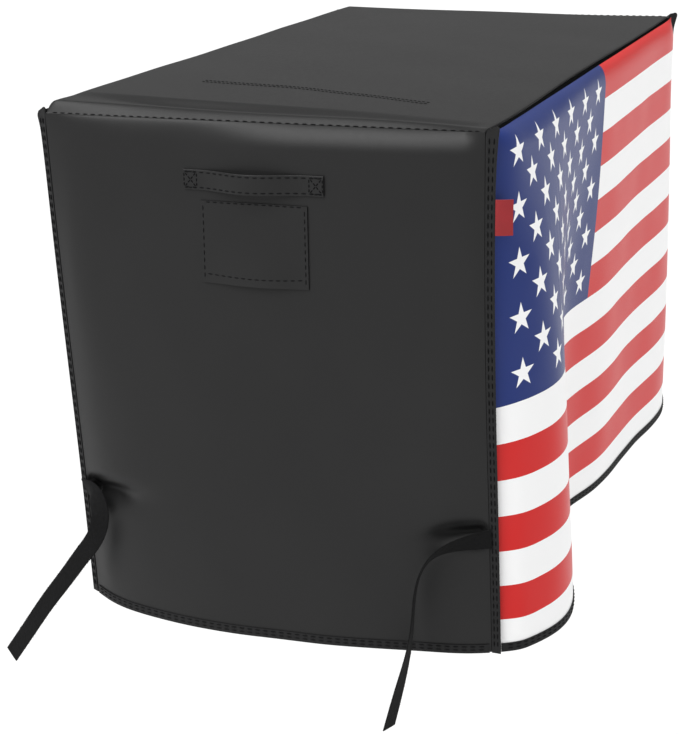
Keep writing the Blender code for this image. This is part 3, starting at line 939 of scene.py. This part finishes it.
def makeHems():
    # A tape folded round each bottom edge: down the outside, round a half circle under the edge and
    # up the inside. Its points are measured out from the panel's outer face and down from the seam.
    tall = sides["tall"]
    wall = hem["thick"] + sides["gap"]
    middle = sides["cloth"] / 2
    turn = np.linspace(0, math.pi, 9)[1:-1]
    radius = middle + wall
    out = np.concatenate(
        [np.full(9, wall), radius * np.cos(turn) - middle, np.full(5, -sides["cloth"] - wall)]
    )
    down = np.concatenate(
        [
            np.linspace(tall - hem["outside"], tall, 9),
            tall + 0.55 * radius * np.sin(turn),
            np.linspace(tall, tall - hem["inside"], 5),
        ]
    )
    for name, steps in panelSteps.items():
        share = np.clip(steps["across"], hem["bare"], 1 - hem["bare"])
        edge = np.minimum(down, tall)[:, None]
        spot = coverPoint(name, share[None, :], edge)
        facing = coverNormal(name, share[None, :], edge + 0 * share[None, :])
        level = unit(facing * (1, 1, 0))
        grid = spot + level * out[:, None, None]
        grid[..., 2] = -down[:, None]
        side = name.replace("_panel", "")
        uv = measured(grid, name == "front_panel")
        piece = slab(side + "_hem", grid, hem["thick"], [finishes["tape"]], uv)
        keep(piece, side + "_hem_binding")
        for height in hem["rows"]:
            line = np.linspace(0.008, 0.992, 240)
            low = np.full_like(line, tall - height)
            towards = unit(coverNormal(name, line, low) * (1, 1, 0))
            sew("hem", coverPoint(name, line, low) + towards * wall, towards)


makeHems()
print("hems made")


# Corner strips

def stripLine(name, depth, share):
    # A line on the strip's outward face, at this share of its width
    base, along, back = cornerFrame(name, depth)
    reach = stripStart(name) + stripWidth(depth) * share
    line = base + along * reach[:, None] - back * strip["proud"]
    return line, np.broadcast_to(-back, line.shape)


def makeStrips():
    # A rounded flat bar down each corner, wider at the top, with its face a little sunk along each
    # of the two rows of stitches
    depth = stations((-strip["ear"], 0.04, 16), (0.04, sides["tall"] + 0.0006, 90))
    for name in corners:
        base, along, back = cornerFrame(name, depth)
        wide = stripWidth(depth)
        shape = flatOval(1.0, strip["thick"], 40, 7.0)
        share = shape[:, 0] + 0.5
        sunk = 1 - 0.30 * sum(bell(share - row, 0.06) for row in strip["rows"])
        profile = np.stack(np.broadcast_arrays(shape[:, 0] * wide[:, None], shape[:, 1] * sunk), -1)
        lift = np.sqrt(np.clip(1 - (np.minimum(depth, 0) / -strip["ear"]) ** 2, 0.40, 1))
        profile[..., 0] *= lift[:, None]
        centre = base + along * (stripStart(name) + wide / 2)[:, None]
        centre = centre + back * (strip["thick"] / 2 - strip["proud"])
        rise, swing, over = ears[name]
        lean = (1 - easeIn(depth + strip["ear"], strip["earFade"]))[:, None]
        away = np.array([0, math.copysign(1, corners[name]["y"][0]), 0])
        centre = centre + lean * (swing - over) * away * wide[:, None] / 2
        wides = along + lean * (rise * np.array([0, 0, 1]) + (swing + over) * away)
        deeps = np.broadcast_to(back, centre.shape)
        piece = carried(name + "_seam", centre, wides, deeps, profile, finishes["tape"])
        keep(piece, name + "_corner_strip")
        run = np.linspace(0.004, sides["tall"] - 0.006, 200)
        for rowShare in strip["rows"]:
            sew("corner", *stripLine(name, run, rowShare))


makeStrips()
print("corner seams made")


# The top

# x, then y of the front and back edges
topOutline = (
    (-0.4893, -0.2808, 0.2914),
    (-0.4600, -0.2828, 0.2918),
    (-0.1800, -0.2825, 0.2902),
    (0.0300, -0.2836, 0.2880),
    (0.4400, -0.2850, 0.2856),
    (0.4893, -0.2838, 0.2842),
)
# Height of the flat middle, which rises to the back: y, then at its near and far end
flatHeights = (
    (-0.284, 0.0015, 0.0013),
    (-0.180, 0.0040, 0.0015),
    (0.000, 0.0090, 0.0052),
    (0.130, 0.0118, 0.0074),
    (0.278, 0.0145, 0.0112),
)
# The roll along the near edge: y, then distance from the edge and height of its crest and of the
# valley behind it
nearRoll = (
    (-0.280, 0.010, 0.0022, 0.020, 0.0014),
    (-0.230, 0.011, 0.0042, 0.029, 0.0018),
    (-0.180, 0.012, 0.0060, 0.035, 0.0020),
    (0.000, 0.014, 0.0082, 0.045, 0.0030),
    (0.130, 0.016, 0.0110, 0.050, 0.0040),
    (0.290, 0.010, 0.0162, 0.060, 0.0148),
)
top = {"valleyRise": 0.021, "farRound": 0.012, "backRound": 0.014, "frontRound": 0.006}


def topEdges(x):
    # y of the front and of the back edge at this x
    return np.moveaxis(fromRows(topOutline, x), -1, 0)


def topHeight(x, y):
    # A sine up to the crest at the near seam, smooth steps down to the valley and up to the flat, and
    # quarter rounds along the other three edges
    reach = topOutline[-1][0]
    front, rear = topEdges(x)
    fromNear, fromFar = x + reach, reach - x
    fromFront, fromBack = y - front, rear - y
    near, far = np.moveaxis(fromRows(flatHeights, y), -1, 0)
    crest, crestHeight, valley, valleyHeight = np.moveaxis(fromRows(nearRoll, y), -1, 0)
    flat = near + (far - near) * fromNear / (2 * reach)
    height = crestHeight + (valleyHeight - crestHeight) * easeIn(fromNear - crest, valley - crest)
    height = height + (flat - height) * easeIn(fromNear - valley, top["valleyRise"])
    height = height + 0.0004 * np.sin(11 * x + 7 * y) * np.cos(9 * y - 4 * x)
    height = height + 0.00025 * np.sin(31 * x - 17 * y)
    height = height * np.sin(math.pi / 2 * np.clip(fromNear / crest, 0, 1))
    height = height * roundOff(fromFar, top["farRound"])
    return height * roundOff(fromFront, top["frontRound"]) * roundOff(fromBack, top["backRound"])


def topPoint(x, y):
    # The near edge follows the seam in, and the rest of the top less and less so
    shift = seamInset(y) * (1 - easeIn(x + topOutline[-1][0], nearSeam["topReach"]))
    return np.stack([x + shift, y + 0 * x, topHeight(x, y) - nearSeam["sag"] * shift], -1)


def topNormal(x, y):
    # Cross product of small steps along and across the top
    small = 0.001
    along = topPoint(x + small, y) - topPoint(x - small, y)
    across = topPoint(x, y + small) - topPoint(x, y - small)
    return unit(np.cross(along, across))


def makeTop():
    # A sheet between the four seams, with closer rows along each edge
    reach = topOutline[-1][0]
    lip = stations((0, 0.0012, 3), (0.0012, 0.014, 12))
    main = stations((0.015, 0.10, 60), (0.10, 0.94, 60))
    x = np.concatenate([lip - reach, main - reach, reach - lip[::-1]])
    frontShares = stations((0, 0.004, 4), (0.004, 0.02, 8))
    otherShares = stations((0.03, 0.90, 60), (0.90, 0.975, 14), (0.975, 1, 12))
    share = np.concatenate([frontShares, otherShares])
    front, rear = topEdges(x)
    y = front + (rear - front) * share[:, None]
    grid = topPoint(x + 0 * y, y)
    worn = [finishes["black"], finishes["inner"]]
    piece = slab("top_cloth", grid, sides["cloth"], worn, grid[..., :2], (0, 1, 1))
    keep(piece, "top_panel")


makeTop()
print("top made")


# Standing seams along the long edges of the top

piping = {"thick": 0.0018, "wide": 0.0048, "clear": 0.0008, "root": 0.0005, "reach": 0.0058}


def makePiping():
    # A rounded narrow bar along each edge, leaning out at 45 degrees
    lean = math.sqrt(0.5)
    for side, column, outward in (("front", 0, -1), ("back", 1, 1)):
        ends = []
        for end in ("near", "far"):
            corner = side + "_" + end
            base, along, back = cornerFrame(corner, np.array([0.0]))
            reach = piping["reach"] if corners[corner]["turn"] >= 0 else 0
            ends.append((base[0] + along * reach + back * (strip["thick"] + sides["gap"]))[0])
        x = np.linspace(ends[0], ends[1], 140)
        edge = topEdges(x)[column] + outward * piping["clear"]
        rise = (piping["root"] + piping["wide"] / 2) * lean
        centre = np.stack([x, edge + outward * rise, np.full_like(x, rise)], -1)
        wides = np.broadcast_to(np.array([0, outward * lean, lean]), centre.shape)
        deeps = np.broadcast_to(np.array([0, -outward * lean, lean]), centre.shape)
        shape = flatOval(piping["wide"], piping["thick"], 24, 4.0)
        piece = carried(side + "_top_seam", centre, wides, deeps, shape, finishes["tape"])
        keep(piece, side + "_top_piping")
        face = centre + deeps * piping["thick"] / 2
        sew("top_edge", face, deeps, "thin")


makePiping()
print("top seams made")


# Rows of stitches on the top: along the near and far seams, and the double row across it

topRows = {"inset": 0.0006, "gap": 0.0095, "half": 0.168}
# y and x of spots along the double row
doubleRow = (
    (-0.185, -0.352),
    (-0.152, -0.346),
    (-0.081, -0.326),
    (-0.042, -0.319),
    (0.023, -0.303),
    (0.079, -0.299),
    (0.162, -0.293),
    (0.215, -0.286),
)


def makeTopRows():
    # A row along each end's seam, and two across the top on a spline through their spots
    reach = topOutline[-1][0]
    for x0 in (-reach + topRows["inset"], reach - topRows["inset"]):
        y = np.linspace(-0.2785, 0.2855, 220)
        x = np.full_like(y, x0)
        sew("top", topPoint(x, y), topNormal(x, y))
    y = np.linspace(topRows["half"], -topRows["half"], 160)
    x = fromRows(doubleRow, y)[:, 0]
    for shift in (0, -topRows["gap"]):
        sew("top", topPoint(x + shift, y), topNormal(x + shift, y), "double")


makeTopRows()
print("top stitched")


# Handle and flap on the near end

# y of their middle, how far they lie off the cloth, and the straight line from seam to seam
nearEnd = {"middle": 0.005, "seat": 0.0007, "start": -0.284, "wide": 0.573}
handle = {"length": 0.184, "wide": 0.0245, "thick": 0.0020, "depth": 0.0705, "sewn": 0.019, "bow": 0.014}
flap = {"length": 0.141, "top": 0.0955, "bottom": 0.1965, "thick": 0.0012, "lift": 0.005}


def nearShare(y, depth):
    # Share of the near end's width at which it crosses this y: a straight first guess, then a few
    # corrections by what is left over
    y, depth = np.broadcast_arrays(np.asarray(y, float), np.asarray(depth, float))
    share = (y - nearEnd["start"]) / nearEnd["wide"]
    for _ in range(6):
        missed = y - coverPoint("near_end_panel", share, depth)[..., 1]
        share = share + missed / nearEnd["wide"]
    return share


def onNearEnd(y, depth, out):
    # Point of the near end at this y and depth, this far out from it, and the normal there
    share = nearShare(y, depth)
    depth = depth + 0 * share
    return coverPoint("near_end_panel", share, depth, out), coverNormal("near_end_panel", share, depth)


def handleLift(y):
    # Bow of the strap between its sewn ends: half a cosine wave on each side of the middle
    free = handle["length"] / 2 - handle["sewn"]
    bow = handle["bow"] * (0.5 + 0.5 * np.cos(math.pi * np.clip(y / free, -1, 1)))
    return np.where(np.abs(y) < free, bow, 0)


def makeHandle():
    # A rounded flat bar along the end, bowed out between its sewn ends
    half, wide = handle["length"] / 2, handle["wide"]
    middle, seat = nearEnd["middle"], nearEnd["seat"]
    y = stations((-half, half, 110))
    lift = handleLift(y)
    centre, _ = onNearEnd(middle + y, handle["depth"] + 0 * y, seat + handle["thick"] / 2 + lift)
    tangent = unit(np.gradient(centre, axis=0))
    upper, _ = onNearEnd(middle + y, handle["depth"] - wide / 2, seat)
    lower, _ = onNearEnd(middle + y, handle["depth"] + wide / 2, seat)
    up = unit(upper - lower)
    out = unit(np.cross(up, tangent))
    if out[0, 0] > 0:
        out = -out
    up = unit(up - tangent * (up * tangent).sum(-1, keepdims=True))
    profile = flatOval(wide, handle["thick"], 36, 6.0)
    keep(carried("handle_strap", centre, up, out, profile, finishes["black"]), "handle")
    face = centre + out * handle["thick"] / 2
    for level in (0.5 * wide - 0.0030, -0.5 * wide + 0.0030):
        sew("handle", face + up * level, out, "strap")
    for sign in (-1, 1):
        sewBox(face, up, out, y, sign)


def sewBox(face, up, out, y, sign):
    # A crossed box at one end of the strap, in the strap's own directions
    boxLong, boxTall = 0.0170, 0.0195
    start = sign * (handle["length"] / 2 - 0.0012)
    end = start - sign * boxLong
    corner = [(start, boxTall / 2), (end, boxTall / 2), (end, -boxTall / 2), (start, -boxTall / 2)]
    lines = [(corner[k], corner[(k + 1) % 4]) for k in range(4)]
    lines += [(corner[0], corner[2]), (corner[1], corner[3])]
    for (y0, z0), (y1, z1) in lines:
        t = np.linspace(0, 1, 20)
        at, level = y0 + (y1 - y0) * t, z0 + (z1 - z0) * t
        spot, rise, normal = (readOff(at, y, table) for table in (face, up, out))
        sew("handle", spot + rise * level[:, None], normal, "box")


def flapPoint(a, depth):
    # Flat against the end along its top and sides, and raised towards the middle of its lower edge
    free = (1 - (a / (flap["length"] / 2)) ** 2) ** 2
    drop = (depth - flap["top"]) / (flap["bottom"] - flap["top"])
    out = nearEnd["seat"] + flap["thick"] + flap["lift"] * free * drop**2
    return onNearEnd(nearEnd["middle"] + a, depth, out)


def makeFlap():
    # A sheet with a row of stitches along each of its four sides, the lowest one bowed down
    half = flap["length"] / 2
    a = stations((half, -half, 60))
    depth = stations((flap["top"], flap["bottom"], 44))[:, None]
    grid, _ = flapPoint(a[None, :] + 0 * depth, depth + 0 * a[None, :])
    grid = grid[:, ::-1]
    uv = np.stack([a[None, ::-1] + 0 * depth, depth + 0 * a[None, :]], -1)
    keep(slab("vent_cloth", grid, flap["thick"], [finishes["black"]], uv), "vent_flap")
    edge = half - 0.0035
    upper, lower = flap["top"] + 0.0014, flap["bottom"] - 0.0115
    runs = (
        (np.linspace(-edge, edge, 80), np.full(80, upper)),
        (np.linspace(-edge, edge, 80), lower + 0.0022 * (1 - np.linspace(-1, 1, 80) ** 2)),
        (np.full(60, -edge), np.linspace(upper, flap["bottom"] - 0.002, 60)),
        (np.full(60, edge), np.linspace(upper, flap["bottom"] - 0.002, 60)),
    )
    for along, deep in runs:
        spot, normal = flapPoint(along, deep)
        sew("flap", spot, normal, "flap")


makeHandle()
makeFlap()
print("handle and flap made")


# Blank side label

label = {
    "top": 0.077,
    "bottom": 0.119,
    "length": 0.0200,
    "thick": 0.0014,
    "lean": 14.0,
    "root": 0.6,
    "curl": 0.8,
    "sway": 0.0006,
}


def makeLabel():
    # Folded tape over the edge of the printed front. It leans back more towards its free end.
    lean = math.radians(label["lean"])
    a = np.linspace(label["length"], 0, 22)[None, :]
    depth = np.linspace(label["top"], label["bottom"], 24)[:, None]
    base, along, back = cornerFrame("front_near", depth + 0 * a)
    start = stripStart("front_near") + stripWidth(depth) + 0.0005
    curl = a * (label["root"] + label["curl"] * a / label["length"]) * math.sin(lean)
    arch = np.sin(math.pi * (depth - label["top"]) / (label["bottom"] - label["top"]))
    sway = label["sway"] * arch * a / label["length"]
    grid = base + along * (start + a * math.cos(lean))[..., None] + back * (curl - sway)[..., None]
    grid = grid - back * label["thick"] / 2
    uv = np.stack([a + 0 * depth, depth + 0 * a], -1)
    keep(slab("side_label_cloth", grid, label["thick"], [finishes["label"]], uv), "side_label")


makeLabel()
print("label made")


# Ties of hook and loop tape

tie = {"wide": 0.025, "thick": 0.0018, "facing": (-0.95, -0.30, 0.0)}
# x, y, z of the middle of the strap, and how far it has turned from facing the near end
tiePaths = {
    "front_tie": (
        (-0.4881, -0.2856, -0.5009, 0),
        (-0.4975, -0.2686, -0.5020, -12),
        (-0.5040, -0.2559, -0.5042, -25),
        (-0.5120, -0.2338, -0.5121, -45),
        (-0.5200, -0.2157, -0.5253, -66),
        (-0.5270, -0.2068, -0.5413, -77),
        (-0.5330, -0.2020, -0.5626, -82),
        (-0.5380, -0.2002, -0.5892, -84),
        (-0.5420, -0.1966, -0.6292, -78),
        (-0.5450, -0.1856, -0.6815, -64),
        (-0.5470, -0.1672, -0.7535, -56),
    ),
    "back_tie": (
        (-0.4914, 0.2832, -0.5040, 0),
        (-0.5060, 0.2640, -0.5020, 2),
        (-0.5180, 0.2490, -0.5130, 6),
        (-0.5270, 0.2425, -0.5300, 10),
        (-0.5330, 0.2475, -0.5525, 16),
        (-0.5350, 0.2672, -0.5803, 24),
        (-0.5400, 0.2942, -0.6161, 30),
        (-0.5450, 0.3252, -0.6562, 33),
        (-0.5480, 0.3589, -0.7030, 35),
        (-0.5500, 0.3901, -0.7462, 35),
    ),
}
fuzz = {"each": 260, "long": 0.0022, "thick": 0.00028, "seed": 7}


def makeTie(name):
    # A smooth path through the spots, with the strap's width level with the ground and then turned
    spots = np.array(tiePaths[name], float)
    lengths = lengthsAlong(spots[:, :3])
    at = np.linspace(0, lengths[-1], 150)
    rows = throughPoints(lengths, spots, at)
    path = unit(np.gradient(rows[:, :3], axis=0))
    level = unit(np.cross(unit(np.array(tie["facing"])), path))
    deep = np.cross(path, level)
    angle = np.radians(rows[:, 3:])
    wide = level * np.cos(angle) + deep * np.sin(angle)
    thin = np.cross(path, wide)
    profile = flatOval(tie["wide"], tie["thick"], 40, 5.0)
    tapeName = name.replace("_tie", "_tape")
    keep(carried(tapeName, rows[:, :3], wide, thin, profile, finishes["fuzzy"]), name)
    return rows[:, :3], wide, thin, path


def makeFuzz(name, path, wide, thin, ahead):
    # Short stray loops along both edges of a tie: thin three-sided spikes, leaning at random
    random = np.random.default_rng(fuzz["seed"])
    count = fuzz["each"] * 2
    at = random.uniform(0, len(path) - 1, count)
    side = np.repeat([-1.0, 1.0], fuzz["each"])
    rows = np.arange(len(path))
    spot, across, up, along = (readOff(at, rows, table) for table in (path, wide, thin, ahead))
    root = spot + across * (side * tie["wide"] * 0.485)[:, None]
    root = root + up * random.uniform(-0.35, 0.35, (count, 1)) * tie["thick"]
    lean = across * side[:, None] + along * random.uniform(-0.9, 0.9, (count, 1))
    lean = unit(lean + up * random.uniform(-0.6, 0.6, (count, 1)))
    tip = root + lean * fuzz["long"] * random.uniform(0.35, 1.0, (count, 1))
    turn = 2 * math.pi * np.arange(3) / 3
    ring = along[:, None] * np.cos(turn)[None, :, None] + up[:, None] * np.sin(turn)[None, :, None]
    points = np.concatenate([root[:, None] + ring * fuzz["thick"], tip[:, None]], axis=1)
    first = (np.arange(count) * 4)[:, None, None]
    one = np.array([[0, 1, 3], [1, 2, 3], [2, 0, 3], [2, 1, 0]])
    faces = (one + first).reshape(-1, 3)
    piece = meshPiece(name + "_fuzz", points, [faces], [finishes["fuzzy"]], sharp=180)
    keep(piece, None)


for tieName in tiePaths:
    makeFuzz(tieName, *makeTie(tieName))
print("ties made")

for sewnGroup in sewn:
    makeStitches(sewnGroup)
print("stitches made:", {name: sum(len(rows) for rows in made) for name, made in sewn.items()})


# Studio: a pale floor well below the hem, a soft sky and soft lights

studio = {
    "floor": -2.30,
    "floorColour": (0.645, 0.645, 0.645, 1),
    "sky": 0.38,
    "suns": (
        # strength, angle, azimuth, elevation, seen in the gloss
        (2.65, 44.0, -120.0, 45.0, True),
        (1.35, 30.0, 12.0, 42.0, False),
        (1.40, 40.0, -150.0, 70.0, True),
    ),
}


def makeStudio():
    # A square floor, an even white sky, and suns that each shine from their own angles
    floorPaint = Paint("floorPaint", {"Specular IOR Level": 0.1})
    grain = floorPaint.noise(3.0)
    shade = floorPaint.mixed(grain * 0.03, studio["floorColour"], (0.80, 0.80, 0.80, 1))
    floorPaint.finish(colour=shade, roughness=0.9 + 0.05 * grain)
    wide = 120.0
    spots = np.array([(-wide, -wide), (wide, -wide), (wide, wide), (-wide, wide)])
    points = np.concatenate([spots, np.full((4, 1), studio["floor"])], axis=1)
    floor = meshPiece("floor", points, [np.array([[0, 1, 2, 3]])], [floorPaint.material])
    world = bpy.data.worlds.new("sky")
    world.use_nodes = True
    world.node_tree.nodes["Background"].inputs["Color"].default_value = (1, 1, 1, 1)
    world.node_tree.nodes["Background"].inputs["Strength"].default_value = studio["sky"]
    bpy.context.scene.world = world
    for k, (strength, angle, azimuth, elevation, glossy) in enumerate(studio["suns"]):
        lamp = bpy.data.lights.new("sun" + str(k), "SUN")
        lamp.energy = strength
        lamp.angle = math.radians(angle)
        key = placed("sun" + str(k), lamp)
        key.visible_glossy = glossy
        key.matrix_world = facingFrom(azimuth, elevation)
    bpy.context.scene.view_settings.view_transform = "Standard"


makeStudio()
print("studio made")
